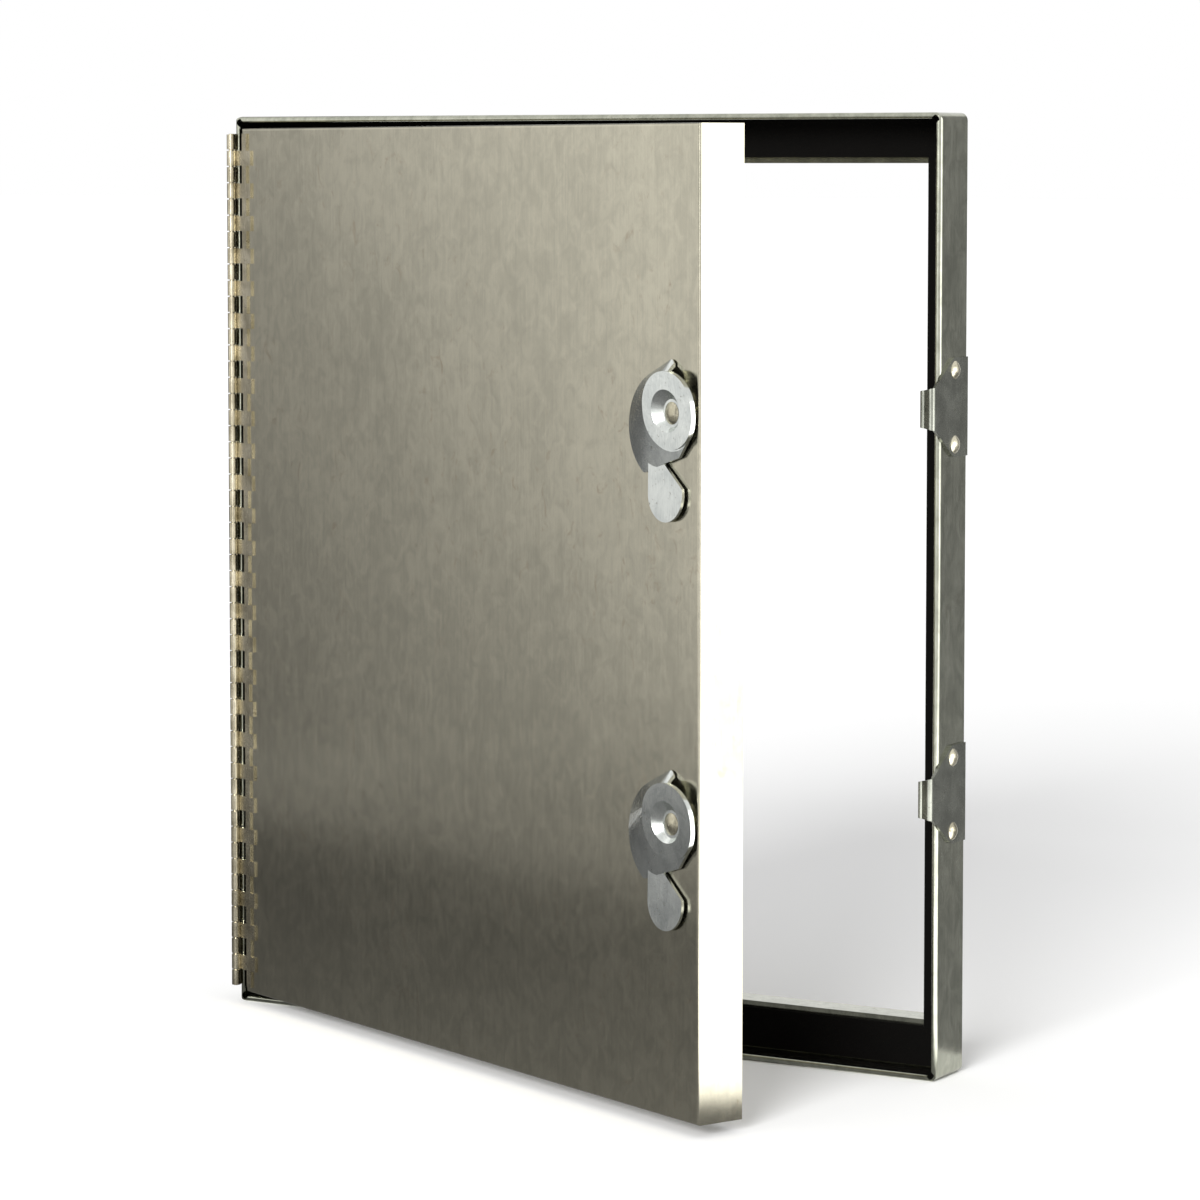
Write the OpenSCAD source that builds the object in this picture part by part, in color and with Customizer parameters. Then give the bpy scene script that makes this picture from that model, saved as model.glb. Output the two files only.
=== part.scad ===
// Hinged access door for a sheet-metal duct: a formed frame with a gasketed back
// flange, an insulated door on a continuous hinge, and two cam latches that turn
// under hooked keepers. Millimetres, +Z up, the door faces -Y. The origin is the
// centre of the duct opening, on the back face of the flange.

/* [Frame] */
// Outside width of the frame
frame_w = 355.6; // [280:0.1:460]
// Outside height of the frame
frame_h = 406.4; // [320:0.1:560]
// Depth of the frame, from its front lips to the back of its flange
frame_d = 25.4; // [22:0.1:40]
// Thickness of the galvanised sheet of the frame and the door
sheet = 0.9; // [0.6:0.05:1.1]
// Outside radius of the bends at the frame's four corners
corner_r = 3.3; // [1.4:0.1:5]
// Outside radius of the bends along the front edges of the frame
lip_r = 1.8; // [1.2:0.05:2.2]
// Width of the hemmed lips round the front
lip_w = 2.6; // [2.4:0.1:6]
// Width of the slanted notch between the ends of two lips
lip_notch = 3; // [0.6:0.1:5]
// Width of the back flange at the top and the bottom
flange_w = 21; // [16:0.1:30]
// Width of the back flange at the hinge and latch sides
side_flange_w = 17; // [13:0.1:30]
// Depth of the collar that goes through the cut-out in the duct
collar_d = 13; // [6:0.1:25]
// Width of the slits at the corners of the flange and the collar
slit_w = 0.6; // [0.2:0.1:1.5]

/* [Gasket] */
// Thickness of the foam gasket
gasket_t = 2.5; // [1.5:0.1:4]
// Bare rim of flange inside the gasket, at the top and the bottom
gasket_rim = 2.5; // [1:0.1:5]
// The same at the hinge and latch sides
side_rim = 0.5; // [0:0.1:5]
// Space between the gasket and the frame's walls
gasket_side = 0.6; // [0.2:0.1:2]

/* [Hinge] */
// Number of knuckles, an odd number, with the frame's at both ends
knuckles = 53; // [31:2:59]
// Distance of the hinge's ends from the top and the bottom of the frame
hinge_end = 7.7; // [5:0.1:20]
// Radius of the hinge barrel
barrel_r = 2; // [1.7:0.05:2.6]
// Thickness of the hinge leaves
leaf_t = 0.9; // [0.6:0.05:1.1]
// Radius of the hinge pin
pin_r = 1.1; // [0.7:0.05:1.3]
// Radial clearance of the pin in the knuckles
pin_clear = 0.04; // [0.02:0.01:0.08]
// Space between neighbouring knuckles
knuckle_gap = 0.6; // [0.1:0.05:1]
// Space between the barrel and the front of the frame
barrel_clear = 0.3; // [0.2:0.05:0.8]
// Space between the barrel and the edge of the frame's leaf
slot_clear = 0.5; // [0.3:0.05:1]
// Width of the frame's leaf, behind the front of the frame
frame_leaf_w = 12; // [8:0.5:18]
// Length of the slots in the door's leaf, from the hinge line
leaf_slot = 7.4; // [6.5:0.1:9]
// Width of the door's leaf, from the hinge line
door_leaf_w = 11; // [10:0.1:18]
// Reach of the tabs of the door's leaf, one behind each of its knuckles, from the hinge line
leaf_tab = 14.6; // [11:0.1:20]

/* [Door] */
// Angle of the open door
door_open = 24; // [0:1:90]
// Space between the door and the lips at the hinge, the top and the bottom
door_clear = 2.7; // [0.6:0.1:4]
// Space left at the lip as the door's free edge swings past
swing_clear = 2.1; // [0.3:0.1:4]
// Outside radius of the bends along the front edges of the door
edge_r = 1.1; // [0.6:0.05:1.8]
// Space between the closed door and the gasket
seal_clear = 0.3; // [0.2:0.05:1]
// Thickness of the folded hem round the door's back panel
hem_t = 2; // [1.6:0.1:3]
// Width of that hem
hem_w = 9; // [6:0.5:16]
// Space round the insulation and its pockets
fill_clear = 0.5; // [0.2:0.1:2]

/* [Latch] */
// Distance between the two latches
latch_gap = 163; // [120:1:240]
// Height of the latches' middle above the middle of the door
latch_mid = 2.6; // [-20:0.1:20]
// Distance from the door's free edge to a latch's rivet
latch_edge = 14.3; // [13:0.1:18]
// Angle through which a cam turns to lock
lock_turn = 70; // [55:1:72]
// Thickness of the cam's sheet
cam_t = 1.2; // [1:0.05:1.5]
// Height of the cam's top above the door, at its rivet
cam_h = 5.2; // [4.6:0.1:7]
// Slope of the cam's top, which climbs as the cam turns
cam_tilt = 7; // [4:0.5:9]
// Direction in which the cam's top is lowest
cam_low = -50; // [-60:1:-40]
// Radius of the cam's working rim
rim_r = 14.5; // [13.5:0.1:15]
// How far the working rim grows towards the lock
rim_shift = 2.2; // [1.4:0.1:3.8]
// Depth of the rolled edge round the cam's working rim
rim_roll = 0.8; // [0.5:0.1:1.4]
// Height of the cam's top above the skirt's shoulder
rim_step = 1; // [0.4:0.1:1.4]
// Radius of the skirt's shoulder
top_r = 15.3; // [14.8:0.1:16]
// Radius of the skirt's foot
foot_r = 22.4; // [20:0.1:24]
// Offset of the skirt's foot from the rivet, towards the hinge
foot_back = 9; // [6:0.5:11]
// Offset of the skirt's foot below the rivet
foot_drop = 6; // [3:0.5:8]
// Height of the skirt's pointed end above the rivet
tip_rise = 21; // [18:0.1:22]
// Offset of the skirt's pointed end from the rivet, towards the hinge
tip_back = 3; // [2.6:0.1:8]
// Radius of the skirt's pointed end
tip_r = 2.4; // [2:0.1:3]
// Space under the cam's skirt and its thumb tab
skirt_clear = 0.6; // [0.5:0.05:1.2]
// Radius of the thumb tab
tab_r = 11.3; // [9:0.1:14]
// Distance of the thumb tab's middle below the rivet
tab_drop = 32.2; // [28:0.1:36]
// Offset of the thumb tab's middle from the rivet, towards the hinge
tab_back = 5.2; // [3:0.1:9]
// Angle at which the thumb tab lifts away from the door
tab_lift = 1.5; // [0:0.5:8]
// Radius of the flat hub at the bottom of the cam's dimple
hub_r = 6.2; // [5.6:0.1:6.6]
// Radius of the dimple's mouth
dimple_r = 8.4; // [8.4:0.1:10]
// Radius of the rivet's shank
rivet_r = 2.5; // [2:0.05:3]
// Radial clearance of the cam, the washers and the door on the rivet
rivet_clear = 0.05; // [0.02:0.01:0.08]
// Radius of the rivet's domed head
head_r = 4.5; // [4:0.1:5]
// Height of the rivet's domed head
head_h = 1.3; // [0.8:0.1:2]
// Thickness of the washer under the cam
washer_t = 1.4; // [0.5:0.05:1.8]
// Play of the cam between the washer and the rivet's head
cam_play = 0.1; // [0.05:0.01:0.2]
// Thickness of the burr washer inside the door
burr_t = 1; // [0.8:0.1:1.5]
// Radius of the burr washer
burr_r = 6.5; // [5:0.1:8]
// Radius of the rivet's clenched tail
tail_r = 3.6; // [3:0.1:4.5]
// Height of the rivet's clenched tail
tail_h = 1.2; // [0.8:0.1:2]

/* [Keeper] */
// Thickness of the keepers
keeper_t = 1.2; // [1:0.05:1.6]
// Distance of a keeper's middle below its latch's rivet
keeper_drop = 3.6; // [0:0.1:5]
// Half the height of the hook
hook_half = 8.9; // [6:0.1:10]
// How much each side of the hook tapers towards its edge
hook_taper = 1.4; // [0:0.1:3]
// Outside radius of the hook's bend
hook_r = 2; // [1.8:0.1:2.6]
// Radius of the bead along the hook's edge
bead_r = 0.95; // [0.7:0.05:1.2]
// Space between the hook's edge and the unlocked cam
hook_side = 0.5; // [0.4:0.1:1.5]
// Space between the hook and the locked cam
hook_clear = 0.3; // [0.2:0.05:0.8]
// Distance between a keeper's two rivets
keeper_pitch = 31.2; // [26:0.1:40]
// Distance of the keeper's rivets behind the front of the frame
keeper_in = 12.6; // [10:0.1:15]
// Radius of the keeper's ends round their rivets
keeper_end = 5.2; // [4.6:0.1:6]
// Distance of the keeper's back edge in front of the frame's back
keeper_back = 0.8; // [0.2:0.1:3]
// Radius of the keeper rivets' shanks
small_r = 1.6; // [1.2:0.05:2]
// Radius of the keeper rivets' heads
small_head_r = 3.8; // [3:0.1:4.4]
// Height of the keeper rivets' heads
small_head_h = 1.7; // [1:0.1:2.2]
// Radius of the keeper rivets' tails inside the frame
small_tail_r = 2.5; // [2.1:0.1:3.5]
// Height of those tails
small_tail_h = 1; // [0.6:0.1:1.5]

/* [Hidden] */
$fn = 48;

// A small overlap, so that cutters pass right through
eps = 1;
// Frame
front_y = -frame_d;
left_x = -frame_w / 2;
right_x = frame_w / 2;
open_w = frame_w - 2 * side_flange_w;
open_h = frame_h - 2 * flange_w;
hem_fold = lip_w - 2 * sheet;
// Gasket
gasket_out = sheet + gasket_side;
gasket_in = flange_w - gasket_rim;
side_gasket_in = side_flange_w - side_rim;
gasket_y = -sheet - gasket_t;
// Hinge line and the door's plane when it is closed
hinge_x = left_x - leaf_t / 2;
hinge_y = front_y - barrel_clear - barrel_r;
door_y = hinge_y + barrel_r;
hinge_l = frame_h - 2 * hinge_end;
pitch = hinge_l / knuckles;
// Door, closed: its free edge keeps its clearance from the lip as its back corner swings past
door_t = gasket_y - seal_clear - door_y;
pan_d = door_t - hem_t;
swing_back = barrel_r + door_t;
swing_reach = right_x - lip_w - swing_clear - hinge_x;
door_left = left_x + lip_w + door_clear;
door_right = hinge_x + sqrt(swing_reach * swing_reach - swing_back * swing_back);
door_w = door_right - door_left;
door_mid = (door_left + door_right) / 2;
door_h = frame_h - 2 * (lip_w + door_clear);
// Latches
cam_x = door_right - latch_edge;
latch_z = [latch_mid + latch_gap / 2, latch_mid - latch_gap / 2];
hub_h = washer_t + cam_play;
seat_h = hub_h + cam_t;
head_base = seat_h + cam_play;
tail_base = -sheet - burr_t;
bore_r = rivet_r + rivet_clear;
skirt_tip = [-tip_back, tip_rise - tip_r];
skirt_end = top_r * [0.25, -1.14];
skirt_corner = [-foot_back - 0.5 * foot_r, -foot_drop - 0.83 * foot_r];
// The dimple's wall, carried on above the tilted top so that the top can cut it
seat_r = hub_r - cam_t / 2;
dimple_slope = (dimple_r - seat_r) / (cam_h - seat_h);
dimple_top = 2 * cam_h;
dimple_wide = dimple_r + (dimple_top - cam_h) * dimple_slope;
// The tab's middle, the end of its straight side, and its neck where it leaves the skirt
tab_middle = [-tab_back, -tab_drop];
tab_corner = tab_middle + tab_r * [cos(12), sin(12)];
neck_y = -foot_drop - foot_r / 2;
neck_left = -tab_back - 1.02 * tab_r;
neck = [-tab_back - 0.45 * tab_r, neck_y];
side_from = neck - (tab_corner - neck) / 4;
side_to = neck + 2 * (tab_corner - neck);
// Keepers: the hook reaches over the locked rim, which is highest at this angle past the lock,
// and clears the unlocked one
hook_angle = 18;
function cam_top(angle, radius) = cam_h - tan(cam_tilt) * radius * cos(angle - cam_low);
hook_under = cam_top(lock_turn + hook_angle, rim_r + rim_shift) + hook_clear + front_y - door_y;
hook_out = hook_under + keeper_t;
hook_tip = cam_x + rim_r + hook_side;
hook_flat = hook_out - hook_r;
small_bore_r = small_r + rivet_clear;
keeper_half = keeper_pitch / 2 + keeper_end;
shoulder_angle = 130;

zinc = [0.66, 0.67, 0.62];
bright_zinc = [0.74, 0.76, 0.76];
foam_black = [0.05, 0.05, 0.05];
fibre_yellow = [0.86, 0.78, 0.48];

// Shared shapes

// An outline in X and Z, made a slab from the depth front_at to back_at
module slab(front_at, back_at) {
    translate([0, back_at, 0]) rotate([90, 0, 0]) linear_extrude(back_at - front_at) children();
}

module round_rect(w, h, r) {
    square([w - 2 * r, h], center = true);
    square([w, h - 2 * r], center = true);
    for (x = [-1, 1], z = [-1, 1]) translate([x * (w / 2 - r), z * (h / 2 - r)]) circle(r);
}

// A profile run along each of the four sides of a rectangle w by h, with its X inwards
// from the side and its Y backwards from the depth at_y, cut short at both ends
module run_round(w, h, at_y, cut) {
    for (turn = [0, 90, 180, 270]) {
        across = turn % 180 == 0 ? w : h;
        along = turn % 180 == 0 ? h : w;
        rotate([0, turn, 0]) translate([-across / 2, at_y, 0])
            linear_extrude(along - 2 * cut, center = true) children();
    }
}

// What a bend takes off a square front edge
module bend_cut(r) {
    difference() {
        translate([-eps, -eps]) square(r + eps);
        translate([r, r]) circle(r);
    }
}

// Slots across the corners of a rectangle w by h, as seen from the front
module corner_slots(w, h, length, width) {
    for (x = [-1, 1], z = [-1, 1])
        translate([x * w / 2, z * h / 2]) rotate(x * z * 45) square([length, width], center = true);
}

module ring(outer, inner, h) {
    difference() {
        cylinder(r = outer, h = h);
        translate([0, 0, -eps]) cylinder(r = inner, h = h + 2 * eps);
    }
}

// A shallow dome on Z = 0
module dome(r, h) {
    ball = (r * r + h * h) / (2 * h);
    intersection() {
        translate([0, 0, h - ball]) sphere(ball, $fn = 96);
        cylinder(r = r + eps, h = h + eps);
    }
}

// Turns what is modelled on the closed door to the open door
module opened() {
    translate([hinge_x, hinge_y, 0]) rotate([0, 0, -door_open]) translate([-hinge_x, -hinge_y, 0]) children();
}

// Stands a shape on the open door's front at a latch, with its Z out of the door
module at_latch(which) {
    opened() translate([cam_x, door_y, latch_z[which]]) rotate([90, 0, 0]) children();
}

// Frame

module lip_profile() {
    difference() {
        square(lip_r);
        translate([lip_r, lip_r]) circle(lip_r - sheet);
    }
    square([lip_w - sheet, sheet]);
    translate([lip_w - sheet - hem_fold, sheet]) square([hem_fold, sheet]);
    translate([lip_w - sheet, sheet]) circle(sheet);
}

module frame_web() {
    slab(front_y, 0) difference() {
        round_rect(frame_w, frame_h, corner_r);
        round_rect(frame_w - 2 * sheet, frame_h - 2 * sheet, corner_r - sheet);
    }
}

module frame_lips() {
    intersection() {
        run_round(frame_w, frame_h, front_y, 0) lip_profile();
        slab(front_y - eps, 0) difference() {
            round_rect(frame_w, frame_h, corner_r);
            corner_slots(frame_w, frame_h, 4 * lip_w, lip_notch);
        }
    }
}

module frame_flange() {
    slit_from = min(flange_w, side_flange_w) - corner_r - sheet;
    slab(-sheet, 0) difference() {
        round_rect(frame_w - sheet, frame_h - sheet, corner_r - sheet / 2);
        square([open_w, open_h], center = true);
        corner_slots(open_w, open_h, 2 * slit_from * sqrt(2), slit_w);
    }
}

module frame() {
    color(zinc) difference() {
        union() {
            frame_web();
            frame_flange();
            frame_lips();
            run_round(open_w + 2 * sheet, open_h + 2 * sheet, -sheet, sheet + slit_w)
                square([sheet, sheet + collar_d]);
        }
        run_round(frame_w, frame_h, front_y, -eps) bend_cut(lip_r);
        for (z = latch_z) translate([right_x, 0, z - keeper_drop]) keeper_holes();
    }
}

// Gasket strips on the flange: the upright ones fit between the top and bottom ones

module gasket_bar(turn, across, length, inner) {
    color(foam_black) rotate([0, turn, 0]) translate([-across / 2 + gasket_out, gasket_y, -length / 2])
        cube([inner - gasket_out, gasket_t, length]);
}

module gasket_top() { gasket_bar(90, frame_h, frame_w - 2 * gasket_out, gasket_in); }
module gasket_bottom() { gasket_bar(270, frame_h, frame_w - 2 * gasket_out, gasket_in); }
module gasket_hinge_side() { gasket_bar(0, frame_w, frame_h - 2 * gasket_in, side_gasket_in); }
module gasket_latch_side() { gasket_bar(180, frame_w, frame_h - 2 * gasket_in, side_gasket_in); }

// Continuous hinge

// Places a shape at the bottom of every other knuckle, starting from the first one named
module each_knuckle(first) {
    for (i = [first : 2 : knuckles - 1])
        translate([hinge_x, hinge_y, -hinge_l / 2 + i * pitch + knuckle_gap / 2]) children();
}

module pin_bore() {
    translate([hinge_x, hinge_y, -hinge_l / 2 - eps]) cylinder(r = pin_r + pin_clear, h = hinge_l + 2 * eps);
}

module hinge_frame_leaf() {
    leaf_front = hinge_y + barrel_r + slot_clear;
    color(zinc) difference() {
        union() {
            translate([left_x - leaf_t, leaf_front, -hinge_l / 2])
                cube([leaf_t, front_y + frame_leaf_w - leaf_front, hinge_l]);
            each_knuckle(0) {
                cylinder(r = barrel_r, h = pitch - knuckle_gap);
                translate([-leaf_t / 2, 0, 0]) cube([leaf_t, barrel_r + slot_clear + sheet, pitch - knuckle_gap]);
            }
        }
        pin_bore();
    }
}

module hinge_door_leaf() {
    color(zinc) opened() difference() {
        union() {
            translate([hinge_x + leaf_slot, door_y - leaf_t, -hinge_l / 2])
                cube([door_leaf_w - leaf_slot, leaf_t, hinge_l]);
            each_knuckle(1) {
                cylinder(r = barrel_r, h = pitch - knuckle_gap);
                translate([0, barrel_r - leaf_t, 0]) cube([leaf_tab, leaf_t, pitch - knuckle_gap]);
            }
        }
        pin_bore();
    }
}

module hinge_pin() {
    color(bright_zinc) translate([hinge_x, hinge_y, -hinge_l / 2]) cylinder(r = pin_r, h = hinge_l);
}

// Door

module door_pan() {
    color(zinc) opened() difference() {
        translate([door_mid, 0, 0]) difference() {
            slab(door_y, door_y + pan_d) square([door_w, door_h], center = true);
            slab(door_y + sheet, door_y + pan_d + eps)
                square([door_w - 2 * sheet, door_h - 2 * sheet], center = true);
            run_round(door_w, door_h, door_y, -eps) bend_cut(edge_r);
        }
        for (z = latch_z) translate([cam_x, door_y - eps, z]) rotate([-90, 0, 0])
            cylinder(r = bore_r, h = sheet + 2 * eps);
    }
}

module door_back() {
    color(zinc) opened() translate([door_mid, 0, 0]) {
        slab(door_y + pan_d, door_y + door_t) difference() {
            square([door_w, door_h], center = true);
            square([door_w - 2 * hem_w, door_h - 2 * hem_w], center = true);
        }
        slab(door_y + pan_d, door_y + pan_d + sheet)
            square([door_w - hem_w, door_h - hem_w], center = true);
    }
}

module door_insulation() {
    inset = 2 * (sheet + fill_clear);
    pocket_d = burr_t + tail_h + fill_clear;
    color(fibre_yellow) opened() difference() {
        translate([door_mid, 0, 0]) slab(door_y + sheet, door_y + pan_d)
            square([door_w - inset, door_h - inset], center = true);
        for (z = latch_z) translate([cam_x, door_y + sheet - eps, z]) rotate([-90, 0, 0])
            cylinder(r = burr_r + fill_clear, h = pocket_d + eps);
    }
}

// Cam latches: Z is out of the door from its front, X is towards the free edge, Y is up

// The plane of the cam's top, which slopes down towards the direction cam_low
module on_top() {
    translate([0, 0, cam_h]) rotate(a = cam_tilt, v = [cos(cam_low + 90), sin(cam_low + 90), 0]) children();
}

// The skirt runs from a shoulder under the top out to an eccentric foot, with a pointed end
module skirt_form(inset) {
    leaf = eps / 10;
    end_r = tip_r - inset;
    hull() {
        translate([0, 0, skirt_clear - inset]) {
            translate([-foot_back, -foot_drop]) cylinder(r = foot_r - inset, h = leaf);
            translate(skirt_tip) cylinder(r = end_r, h = leaf);
        }
        on_top() translate([0, 0, -rim_step - inset - leaf]) cylinder(r = top_r - inset / 2, h = leaf);
    }
}

// Where the skirt stays: it is open towards the free edge and cut off above the tab
module skirt_reach() {
    far = 2 * foot_r;
    linear_extrude(far) polygon([
        [0, 0], rim_r * [cos(cam_low), sin(cam_low)], skirt_end, skirt_corner, [-far, -foot_r],
        [-far, far], [-cam_t, far]
    ]);
}

module cam_skirt() {
    intersection() {
        difference() {
            skirt_form(0);
            skirt_form(cam_t);
        }
        skirt_reach();
    }
}

// The top's outline, smaller all round by inset: it grows towards the lock
module rim_outline(inset) {
    circle(rim_r - inset);
    translate([0, rim_shift]) circle(rim_r - inset);
}

module top_slab(thickness) {
    on_top() translate([0, 0, -thickness]) cylinder(r = 2 * foot_r, h = thickness);
}

module cam_plate() {
    intersection() {
        top_slab(cam_t);
        linear_extrude(2 * dimple_top) rim_outline(0);
    }
    intersection() {
        top_slab(cam_t + rim_roll);
        linear_extrude(2 * dimple_top) difference() {
            rim_outline(0);
            rim_outline(cam_t);
        }
    }
}

module cam_dimple() {
    intersection() {
        rotate_extrude() polygon([
            [0, hub_h], [hub_r, hub_h], [dimple_wide + cam_t, dimple_top], [0, dimple_top]
        ]);
        top_slab(2 * dimple_top);
    }
}

module dimple_void() {
    rotate_extrude() polygon([
        [0, seat_h], [seat_r, seat_h], [dimple_wide, dimple_top], [0, dimple_top]
    ]);
}

module cam_tab() {
    translate([0, neck_y, skirt_clear]) rotate([-tab_lift, 0, 0]) translate([0, -neck_y, 0]) linear_extrude(cam_t) {
        difference() {
            union() {
                translate(tab_middle) circle(tab_r);
                polygon([
                    tab_middle - [tab_r, 0], [neck_left, neck_y - cam_t],
                    neck + [cam_t, 0], tab_corner + [0, tab_r]
                ]);
            }
            polygon([side_from, side_to, [side_to[0], side_from[1]]]);
        }
    }
}

module cam() {
    color(bright_zinc) difference() {
        union() {
            cam_plate();
            cam_skirt();
            cam_dimple();
            cam_tab();
        }
        dimple_void();
        cylinder(r = bore_r, h = 2 * dimple_top, center = true);
    }
}

module cam_rivet() {
    color(bright_zinc) {
        translate([0, 0, head_base]) dome(head_r, head_h);
        translate([0, 0, tail_base]) cylinder(r = rivet_r, h = head_base - tail_base);
        translate([0, 0, tail_base - tail_h]) cylinder(r = tail_r, h = tail_h);
    }
}

module cam_washer() { color(bright_zinc) ring(hub_r, bore_r, washer_t); }
module cam_burr() { color(bright_zinc) translate([0, 0, tail_base]) ring(burr_r, bore_r, burr_t); }

// Keepers on the outside of the frame's latch side

module keeper_holes() {
    for (side = [-1, 1])
        translate([-sheet - eps, front_y + keeper_in, side * keeper_pitch / 2]) rotate([0, 90, 0])
            cylinder(r = small_bore_r, h = sheet + keeper_t + 2 * eps);
}

module keeper_outline() {
    back = frame_d - keeper_back;
    shoulder = [keeper_in, keeper_pitch / 2] + keeper_end * [cos(shoulder_angle), sin(shoulder_angle)];
    half = [[-hook_flat, hook_half], shoulder, [keeper_in, keeper_half], [back, keeper_half]];
    polygon(concat(half, [for (i = [len(half) - 1 : -1 : 0]) [half[i][0], -half[i][1]]]));
    for (side = [-1, 1]) translate([keeper_in, side * keeper_pitch / 2]) circle(keeper_end);
}

// The hook in plan, with X measured from the frame's side and Y from its front
module hook_profile() {
    tip = hook_tip - right_x;
    bend_x = keeper_t - hook_r;
    intersection() {
        translate([bend_x, -hook_flat]) difference() {
            circle(hook_r);
            circle(hook_r - keeper_t);
        }
        translate([bend_x, -hook_out]) square(hook_r);
    }
    translate([tip + bead_r, -hook_out]) square([bend_x - tip - bead_r, keeper_t]);
    translate([tip + bead_r, -hook_under - bead_r]) circle(bead_r);
}

module keeper() {
    tip = hook_tip - right_x;
    color(bright_zinc) difference() {
        union() {
            translate([0, front_y, 0]) rotate([90, 0, 90]) linear_extrude(keeper_t) keeper_outline();
            intersection() {
                translate([0, front_y, 0]) linear_extrude(2 * hook_half, center = true) hook_profile();
                slab(2 * front_y, 0) polygon([
                    [keeper_t, hook_half], [tip, hook_half - hook_taper],
                    [tip, hook_taper - hook_half], [keeper_t, -hook_half]
                ]);
            }
        }
        keeper_holes();
    }
}

module keeper_rivets() {
    color(bright_zinc) for (side = [-1, 1])
        translate([0, front_y + keeper_in, side * keeper_pitch / 2]) rotate([0, 90, 0]) {
            translate([0, 0, keeper_t]) dome(small_head_r, small_head_h);
            translate([0, 0, -sheet]) cylinder(r = small_r, h = sheet + keeper_t);
            translate([0, 0, -sheet - small_tail_h]) cylinder(r = small_tail_r, h = small_tail_h);
        }
}

module at_keeper(which) {
    translate([right_x, 0, latch_z[which] - keeper_drop]) children();
}

frame();
gasket_top();
gasket_bottom();
gasket_hinge_side();
gasket_latch_side();
hinge_frame_leaf();
hinge_pin();
hinge_door_leaf();
at_keeper(0) keeper();  // keeper_upper
at_keeper(1) keeper();  // keeper_lower
at_keeper(0) keeper_rivets();  // keeper_rivets_upper
at_keeper(1) keeper_rivets();  // keeper_rivets_lower
door_pan();
door_back();
door_insulation();
at_latch(0) cam();  // cam_upper
at_latch(1) cam();  // cam_lower
at_latch(0) cam_rivet();  // cam_rivet_upper
at_latch(1) cam_rivet();  // cam_rivet_lower
at_latch(0) cam_washer();  // cam_washer_upper
at_latch(1) cam_washer();  // cam_washer_lower
at_latch(0) cam_burr();  // cam_burr_upper
at_latch(1) cam_burr();  // cam_burr_lower
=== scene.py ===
import math

import bpy
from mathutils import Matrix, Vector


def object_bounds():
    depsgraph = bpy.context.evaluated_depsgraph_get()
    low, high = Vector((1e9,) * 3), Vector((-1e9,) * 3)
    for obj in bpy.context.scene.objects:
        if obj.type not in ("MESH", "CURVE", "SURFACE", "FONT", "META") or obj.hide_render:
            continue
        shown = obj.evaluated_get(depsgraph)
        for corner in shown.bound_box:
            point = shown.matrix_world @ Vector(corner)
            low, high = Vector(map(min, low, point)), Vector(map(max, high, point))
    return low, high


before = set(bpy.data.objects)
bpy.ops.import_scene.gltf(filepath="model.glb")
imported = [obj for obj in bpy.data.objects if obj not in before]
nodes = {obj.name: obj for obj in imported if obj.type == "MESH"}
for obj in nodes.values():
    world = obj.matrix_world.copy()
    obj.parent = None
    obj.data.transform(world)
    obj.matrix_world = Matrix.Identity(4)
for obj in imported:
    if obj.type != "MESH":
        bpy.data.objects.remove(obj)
cad_low, cad_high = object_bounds()

# The frame is one strip of galvanised sheet, folded to a channel with hemmed lips in front,
# a flange behind and a collar that goes into the duct. Its zinc is dull and mottled, with
# fine lines from the rolling mill.


class Tone:
    """One value of a finish. Sums and products of tones add Math nodes to the finish."""

    def __init__(self, tree, socket=None):
        self.tree = tree
        self.socket = socket

    def node(self, kind, settings, sockets, output=0):
        made = self.tree.nodes.new(kind)
        for name, value in settings.items():
            if name == "stops":
                ramp = made.color_ramp
                while len(ramp.elements) < len(value):
                    ramp.elements.new(0.5)
                for element, (place, colour) in zip(ramp.elements, value):
                    element.position = place
                    element.color = (*colour, 1)
            else:
                setattr(made, name, value)
        for name, value in sockets.items():
            if isinstance(value, Tone):
                self.tree.links.new(value.socket, made.inputs[name])
            else:
                made.inputs[name].default_value = value
        return Tone(self.tree, made.outputs[output] if made.outputs else None)

    def math(self, operation, first, second):
        return self.node("ShaderNodeMath", {"operation": operation}, {0: first, 1: second})

    def __add__(self, other):
        return self.math("ADD", self, other)

    __radd__ = __add__

    def __sub__(self, other):
        return self.math("SUBTRACT", self, other)

    def __rsub__(self, other):
        return self.math("SUBTRACT", other, self)

    def __mul__(self, other):
        return self.math("MULTIPLY", self, other)

    __rmul__ = __mul__

    def noise(self, place, scale, detail=2, rough=0.5, warp=0):
        return self.node("ShaderNodeTexNoise", {}, {
            "Vector": place, "Scale": scale, "Detail": detail, "Roughness": rough, "Distortion": warp,
        })

    def stretched(self, size, turn=0):
        """Coordinates of this piece, turned about the upright and scaled along each axis."""
        here = self.node("ShaderNodeTexCoord", {}, {}, "Object")
        angle = (0, 0, math.radians(turn))
        turned = self.node("ShaderNodeMapping", {}, {"Vector": here, "Rotation": angle})
        return self.node("ShaderNodeMapping", {}, {"Vector": turned, "Scale": size})

    def between(self, low, high):
        """0 where this value is under low, 1 where it is over high, smooth between them."""
        return self.node("ShaderNodeMapRange", {"interpolation_type": "SMOOTHSTEP"}, {
            "Value": self, "From Min": low, "From Max": high,
        })

    def blend(self, first, second):
        """The first colour where this value is 0 and the second where it is 1."""
        return self.node("ShaderNodeMix", {"data_type": "RGBA"}, {0: self, 6: first, 7: second}, 2)


def colour(red, green, blue):
    """A screen colour of 0 to 255 as the shader's own linear one."""
    return tuple(((v / 255 + 0.055) / 1.055) ** 2.4 for v in (red, green, blue)) + (1,)


def finish(name):
    """An empty material, as the tone that its nodes grow from."""
    material = bpy.data.materials.new(name)
    material.use_nodes = True
    material.node_tree.nodes.clear()
    return material, Tone(material.node_tree)


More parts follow.
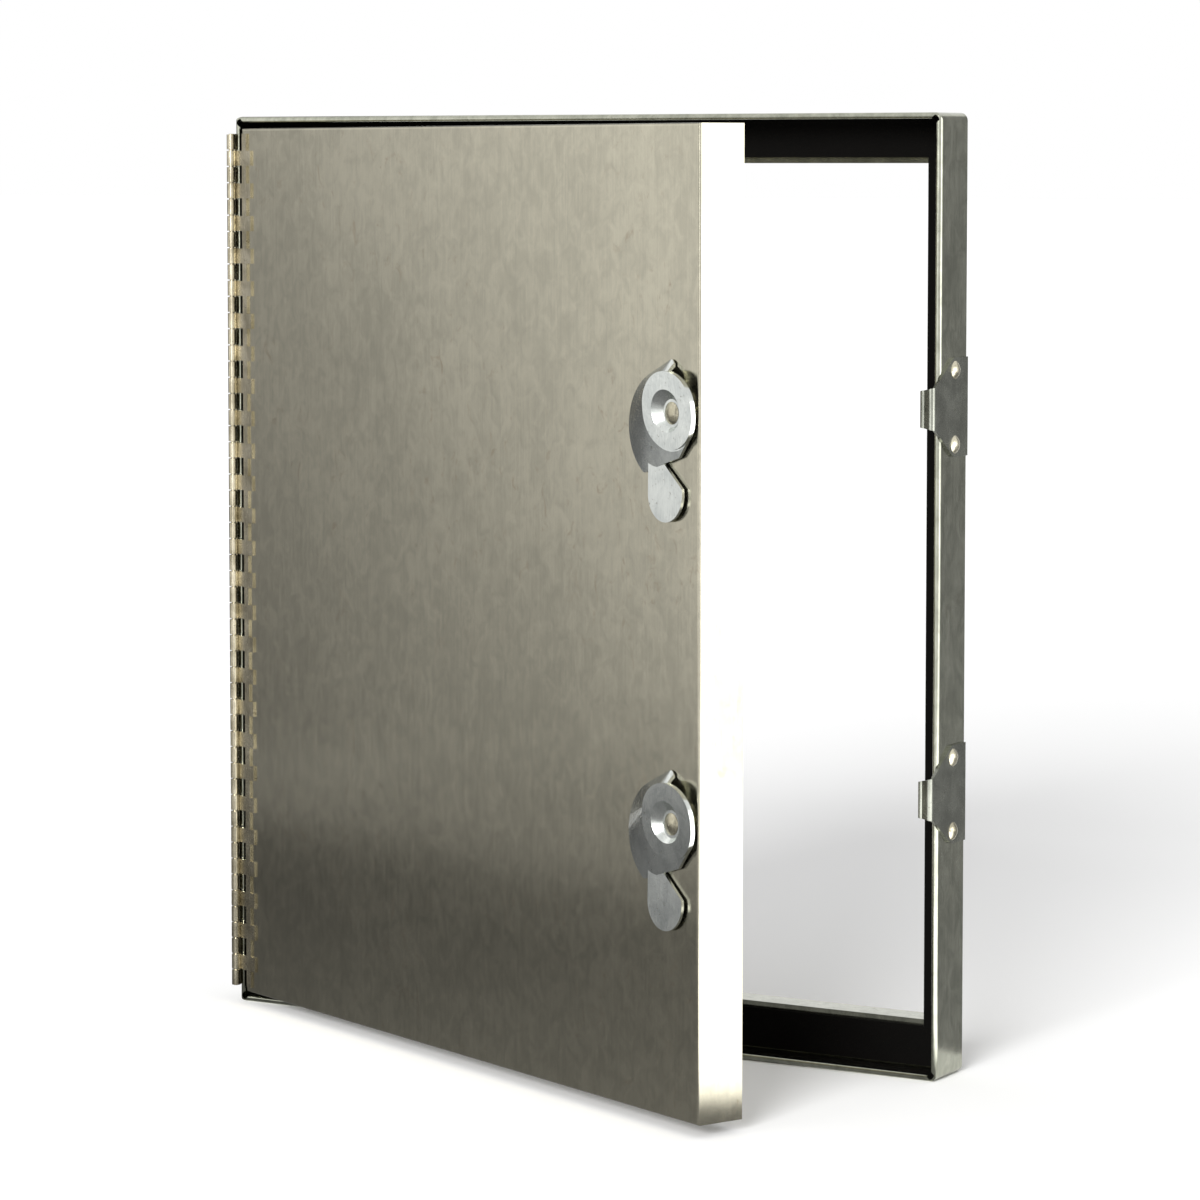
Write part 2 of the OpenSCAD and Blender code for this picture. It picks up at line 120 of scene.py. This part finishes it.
def surface(tone, sockets):
    shader = tone.node("ShaderNodeBsdfPrincipled", {}, sockets)
    tone.node("ShaderNodeOutputMaterial", {}, {"Surface": shader})


def galvanised(name, turn, light, dark, stain):
    """Rolled zinc-coated sheet: wide clouds, small blotches, mill lines and a few brown flecks."""
    material, tone = finish(name)
    flat = tone.stretched((1, 1, 1), turn)
    upright = tone.stretched((1, 1, 0.75), turn)
    rolled = tone.stretched((1, 1, 0.03), turn)
    cloud = tone.noise(flat, 11, 3, 0.55, 0.5)
    blotch = tone.noise(upright, 150, 4, 0.6, 0.7)
    grain = tone.noise(rolled, 1000, 2)
    depth = 0.32 * cloud + 0.5 * blotch + 0.18 * grain
    sheet = depth.between(0.34, 0.66).blend(dark, light)
    flecks = tone.noise(upright, 120, 5, 0.7, 1.2).between(0.56, 0.72) * cloud.between(0.4, 0.6)
    zinc = (0.5 * flecks).blend(sheet, stain)
    wave = tone.noise(flat, 18, 2)
    relief = tone.node("ShaderNodeBump", {}, {
        "Height": 0.5 * wave + 0.006 * blotch, "Strength": 0.4, "Distance": 0.0006,
    })
    dullness = 0.15 + 0.06 * blotch + 0.08 * flecks
    surface(tone, {"Base Color": zinc, "Metallic": 1, "Roughness": dullness, "Normal": relief})
    return material


def clad(material, *names):
    for name in names:
        nodes[name].data.materials.clear()
        nodes[name].data.materials.append(material)


frame_zinc = galvanised("frame_zinc", 0, colour(186, 187, 172), colour(150, 152, 138),
                        colour(126, 122, 104))
clad(frame_zinc, "frame")

# The gasket is closed-cell foam in four stuck-down strips, black and dead matt, with a
# skin that shows small open pores.

material, tone = finish("gasket_foam")
flat = tone.stretched((1, 1, 1))
pores = tone.node("ShaderNodeTexVoronoi", {"feature": "F1"}, {"Vector": flat, "Scale": 1100}, "Distance")
open_pores = 1 - pores.between(0.1, 0.34)
dust = tone.noise(flat, 60, 3)
foam = (0.5 * open_pores + 0.4 * dust).blend(colour(8, 7, 6), colour(3, 3, 2))
dents = tone.node("ShaderNodeBump", {}, {"Height": 1 - open_pores, "Strength": 0.4, "Distance": 0.0003})
surface(tone, {
    "Base Color": foam, "Roughness": 0.85 + 0.1 * dust, "Specular IOR Level": 0.05, "Normal": dents,
})
clad(material, "gasket_top", "gasket_bottom", "gasket_hinge_side", "gasket_latch_side")

# The continuous hinge is two leaves of thin galvanised strip, curled round a steel pin and
# spot-welded to the frame and the door. It is cleaner than the sheet and has a few grimy specks.


def plated(name, turn, light, dark, grime, rough):
    """Thin zinc plate on a pressed piece, with brushing, faint clouds and a few dull specks."""
    material, tone = finish(name)
    flat = tone.stretched((1, 1, 1), turn)
    brushed = tone.stretched((1, 1, 0.06), turn)
    cloud = tone.noise(flat, 90, 3, 0.55, 0.5)
    strokes = tone.noise(brushed, 2600, 2)
    specks = tone.noise(flat, 700, 3, 0.6).between(0.62, 0.72)
    plate = (0.65 * cloud + 0.35 * strokes).between(0.32, 0.66).blend(dark, light)
    worn = (0.6 * specks).blend(plate, grime)
    relief = tone.node("ShaderNodeBump", {}, {
        "Height": cloud + 0.2 * strokes, "Strength": 0.25, "Distance": 0.0002,
    })
    dullness = rough + 0.1 * cloud + 0.12 * specks
    surface(tone, {"Base Color": worn, "Metallic": 1, "Roughness": dullness, "Normal": relief})
    return material


hinge_zinc = plated("hinge_zinc", 0, colour(204, 196, 174), colour(158, 150, 128), colour(96, 88, 68), 0.2)
clad(hinge_zinc, "hinge_frame_leaf", "hinge_door_leaf", "hinge_pin")

# The keepers are stamped steel hooks with dull zinc plate, each riveted to the frame's latch
# side by two domed rivets, which are brighter.

keeper_zinc = plated("keeper_zinc", 0, colour(158, 160, 150), colour(132, 134, 125),
                     colour(96, 94, 82), 0.2)
clad(keeper_zinc, "keeper_upper", "keeper_lower")
rivet_zinc = plated("rivet_zinc", 0, colour(214, 208, 186), colour(168, 162, 140),
                    colour(110, 102, 82), 0.2)
clad(rivet_zinc, "keeper_rivets_upper", "keeper_rivets_lower")

# The door is a galvanised pan filled with fibre board and closed by a hemmed back panel.
# It stands open by door_turn degrees, which its rolling lines follow.

door_turn = 24
door_zinc = galvanised("door_zinc", door_turn, colour(193, 188, 169), colour(173, 169, 152),
                       colour(150, 134, 112))
clad(door_zinc, "door_pan", "door_back")

material, tone = finish("fibre_board")
strands = tone.noise(tone.stretched((1, 1, 0.2), door_turn), 900, 3, 0.6)
board = strands.between(0.3, 0.7).blend(colour(196, 172, 96), colour(232, 214, 146))
surface(tone, {"Base Color": board, "Roughness": 0.8 + 0.15 * strands})
clad(material, "door_insulation")

# Each latch is a pressed cam with a thumb tab, plated bright. It turns on a rivet, with a
# washer under it and a burr behind the door's front sheet.

cam_zinc = plated("cam_zinc", door_turn, colour(224, 227, 222), colour(198, 202, 199),
                  colour(130, 128, 116), 0.15)
clad(cam_zinc, "cam_upper", "cam_lower")
clad(rivet_zinc, "cam_rivet_upper", "cam_rivet_lower", "cam_washer_upper", "cam_washer_lower")
clad(rivet_zinc, "cam_burr_upper", "cam_burr_lower")

# The studio: a pale floor that runs out to a white surround, one broad soft lamp low in
# front, and cards that only the metal sees.

floor_z = cad_low.z
floor_half = 40


def card(name, corners):
    """A flat sheet through four corners, which isn't part of the object."""
    mesh = bpy.data.meshes.new(name)
    mesh.from_pydata(corners, [], [(0, 1, 2, 3)])
    made = bpy.data.objects.new(name, mesh)
    bpy.context.scene.collection.objects.link(made)
    return made


floor = card("floor", [
    (-floor_half, -floor_half, floor_z), (floor_half, -floor_half, floor_z),
    (floor_half, floor_half, floor_z), (-floor_half, floor_half, floor_z),
])
material, tone = finish("pale_floor")
surface(tone, {"Base Color": (0.95, 0.95, 0.95, 1), "Roughness": 0.9, "Specular IOR Level": 0})
floor.data.materials.append(material)


def reflector(name, corners, stops, start, end):
    """A glowing card that only reflections show, graded from its place start to end."""
    made = card(name, corners)
    material, tone = finish(name)
    here = tone.node("ShaderNodeTexCoord", {}, {}, "Object")
    run = [e - s for s, e in zip(start, end)]
    length = sum(v * v for v in run)
    moved = tone.node("ShaderNodeVectorMath", {"operation": "SUBTRACT"}, {0: here, 1: start})
    share = tone.node("ShaderNodeVectorMath", {"operation": "DOT_PRODUCT"}, {
        0: moved, 1: [v / length for v in run],
    }, "Value")
    greys = [(place, (v, v, v)) for place, v in stops]
    glow = tone.node("ShaderNodeValToRGB", {"stops": greys}, {"Fac": share})
    light = tone.node("ShaderNodeEmission", {}, {"Color": glow, "Strength": 1})
    tone.node("ShaderNodeOutputMaterial", {}, {"Surface": light})
    made.data.materials.append(material)
    made.visible_camera = False
    made.visible_diffuse = False
    made.visible_shadow = False


card_foot = -0.2
card_z = floor_z + 0.0005


def standing(first, second, top):
    """The corners of an upright card over the line between two places on the floor."""
    return [(*first, card_foot), (*second, card_foot), (*second, top), (*first, top)]


def lying(*places):
    """The corners of a card that lies just over the floor."""
    return [(*place, card_z) for place in places]


# The door's front sees the left cards: a tall one that grows lighter to the right and upwards,
# and a dark floor with a slanted edge, which makes the band along the door's foot.

left_x = -0.95
edge_left = (left_x, 0.015)
edge_right = (0.2, -0.637)
reflector("left_card", standing((left_x, -1.6), (left_x, 1.2), 1.2),
          [(0, 0.12), (0.15, 0.24), (0.28, 0.37), (0.48, 0.52), (0.64, 0.86), (0.82, 1.05), (1, 1.25)],
          (left_x, -0.05, -0.2), (left_x, -0.55, 0.13))
reflector("near_floor_card", lying(edge_left, edge_right, (0.2, -0.03), (-0.9, 0.2)),
          [(0, 0.1), (0.5, 0.15), (1, 0.24)], (-0.6, 0, 0), (0.1, -0.3, 0))
reflector("far_floor_card", lying(edge_left, (left_x, -1.2), (0.2, -1.2), edge_right),
          [(0, 0.3), (0.5, 0.38), (1, 0.46)], (-0.75, -0.1, 0), (-0.4, -0.5, 0))

# The door's free edge sees the bright right cards, the frame's latch side the dim back ones,
# and the flat fronts of the lips the front one.

right_x = 1.3
bright = [(0, 3), (1, 3.8)]
reflector("right_card", standing((right_x, -0.3), (right_x, 0.5), 0.42),
          bright, (right_x, 0, -0.2), (right_x, 0, 0.1))
reflector("right_floor_card", lying((0.22, -0.6), (right_x, -0.6), (right_x, 0.1), (0.22, 0.02)),
          bright, (0.2, 0, 0), (0.6, 0, 0))
back_left = (0.3, 1.6)
back_right = (1.25, 1.31)
reflector("back_card", standing(back_left, back_right, 0.9),
          [(0, 0.28), (1, 0.32)], (0, 0, -0.2), (0, 0, 0.4))
reflector("back_floor_card", lying((0.19, 0.03), (1.2, 0.3), back_right, back_left),
          [(0, 0.3), (1, 0.32)], (0.2, 0, 0), (0.8, 1, 0))
reflector("front_card", standing((-1.6, -1.2), (-0.4, -1.9), 1.2),
          [(0, 0.4), (1, 0.5)], (0, 0, -0.2), (0, 0, 0.4))

world = bpy.data.worlds.new("surround")
bpy.context.scene.world = world
world.use_nodes = True
world.node_tree.nodes.clear()
tone = Tone(world.node_tree)
rays = ("Is Camera Ray", "Is Glossy Ray", "Is Transmission Ray")
seen = [tone.node("ShaderNodeLightPath", {}, {}, ray) for ray in rays]
shown = tone.math("MINIMUM", seen[0] + seen[1] + seen[2], 1)
sky = shown.blend((0.7, 0.7, 0.7, 1), (1, 1, 1, 1))
tone.node("ShaderNodeOutputWorld", {}, {
    "Surface": tone.node("ShaderNodeBackground", {}, {"Color": sky, "Strength": 1}),
})

lamp_data = bpy.data.lights.new("key", "SUN")
lamp_data.energy = 4.2
lamp_data.angle = math.radians(26)
lamp = bpy.data.objects.new("key", lamp_data)
lamp.rotation_euler = (math.radians(71), 0, math.radians(9))
bpy.context.scene.collection.objects.link(lamp)

camera_data = bpy.data.cameras.new("camera")
camera_data.lens = 129.69
camera_data.sensor_width = 36
camera_data.shift_y = -0.1
camera = bpy.data.objects.new("camera", camera_data)
camera.location = (0.9593, -1.6454, 0.182)
camera.rotation_euler = (math.radians(90 - 4.186), 0, math.radians(30.252))
bpy.context.scene.collection.objects.link(camera)
bpy.context.scene.camera = camera
bpy.context.scene.view_settings.view_transform = "Standard"
